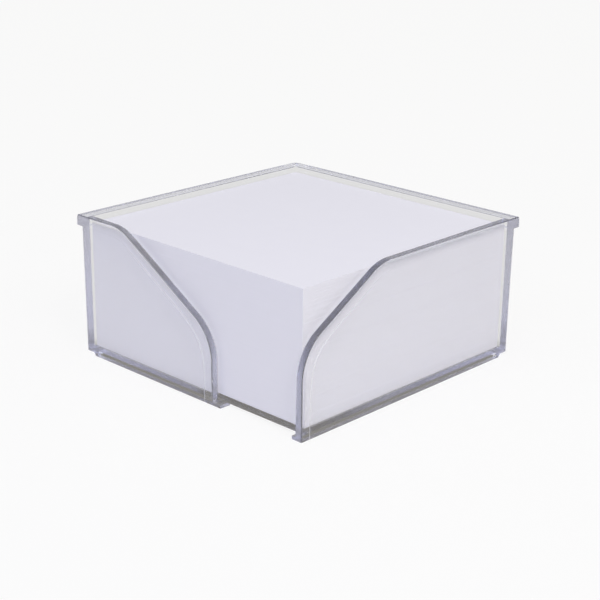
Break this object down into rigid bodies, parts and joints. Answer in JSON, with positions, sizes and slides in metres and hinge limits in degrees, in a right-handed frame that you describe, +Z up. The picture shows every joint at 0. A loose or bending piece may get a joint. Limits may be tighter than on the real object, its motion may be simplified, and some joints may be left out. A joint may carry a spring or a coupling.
{
  "type": "memo cube holder",
  "caption": "Clear moulded tray for square note sheets, with a turned-out rim on two walls, a finger gap at the front right corner and a stack of loose white sheets",
  "frame": {"origin": "middle of the whole outline, rim included, on the surface that the foot rests on", "axes": "+Z up; -Y is the front wall, whose right half is open; +X is the right wall, which falls towards the front; the rim turns out at the left wall (-X) and the back wall (+Y)"},
  "size_m": [0.0988, 0.0988, 0.046],
  "materials": {
    "clear_plastic": "clear, polished moulding, faintly blue-grey in its edges",
    "note_paper": "white uncoated note paper, cut edges matt"
  },
  "bodies": {
    "holder": {"holder_tray": "clear_plastic"},
    "sheaf_01": {"note_sheets_01": "note_paper"},
    "sheaf_02": {"note_sheets_02": "note_paper"},
    "sheaf_03": {"note_sheets_03": "note_paper"},
    "sheaf_04": {"note_sheets_04": "note_paper"},
    "sheaf_05": {"note_sheets_05": "note_paper"},
    "sheaf_06": {"note_sheets_06": "note_paper"},
    "sheaf_07": {"note_sheets_07": "note_paper"},
    "sheaf_08": {"note_sheets_08": "note_paper"},
    "sheaf_09": {"note_sheets_09": "note_paper"},
    "sheaf_10": {"note_sheets_10": "note_paper"},
    "sheaf_11": {"note_sheets_11": "note_paper"},
    "sheaf_12": {"note_sheets_12": "note_paper"}
  },
  "joints": [
    {"name": "lift_01", "type": "slide", "parent": "holder", "child": "sheaf_01", "axis": [0, 0, 1], "range_m": [0, 0.0447]},
    {"name": "lift_02", "type": "slide", "parent": "sheaf_01", "child": "sheaf_02", "axis": [0, 0, 1], "range_m": [0, 0.0413]},
    {"name": "lift_03", "type": "slide", "parent": "sheaf_02", "child": "sheaf_03", "axis": [0, 0, 1], "range_m": [0, 0.0378]},
    {"name": "lift_04", "type": "slide", "parent": "sheaf_03", "child": "sheaf_04", "axis": [0, 0, 1], "range_m": [0, 0.0344]},
    {"name": "lift_05", "type": "slide", "parent": "sheaf_04", "child": "sheaf_05", "axis": [0, 0, 1], "range_m": [0, 0.031]},
    {"name": "lift_06", "type": "slide", "parent": "sheaf_05", "child": "sheaf_06", "axis": [0, 0, 1], "range_m": [0, 0.0275]},
    {"name": "lift_07", "type": "slide", "parent": "sheaf_06", "child": "sheaf_07", "axis": [0, 0, 1], "range_m": [0, 0.0241]},
    {"name": "lift_08", "type": "slide", "parent": "sheaf_07", "child": "sheaf_08", "axis": [0, 0, 1], "range_m": [0, 0.0207]},
    {"name": "lift_09", "type": "slide", "parent": "sheaf_08", "child": "sheaf_09", "axis": [0, 0, 1], "range_m": [0, 0.0172]},
    {"name": "lift_10", "type": "slide", "parent": "sheaf_09", "child": "sheaf_10", "axis": [0, 0, 1], "range_m": [0, 0.0138]},
    {"name": "lift_11", "type": "slide", "parent": "sheaf_10", "child": "sheaf_11", "axis": [0, 0, 1], "range_m": [0, 0.0104]},
    {"name": "lift_12", "type": "slide", "parent": "sheaf_11", "child": "sheaf_12", "axis": [0, 0, 1], "range_m": [0, 0.0069]}
  ]
}
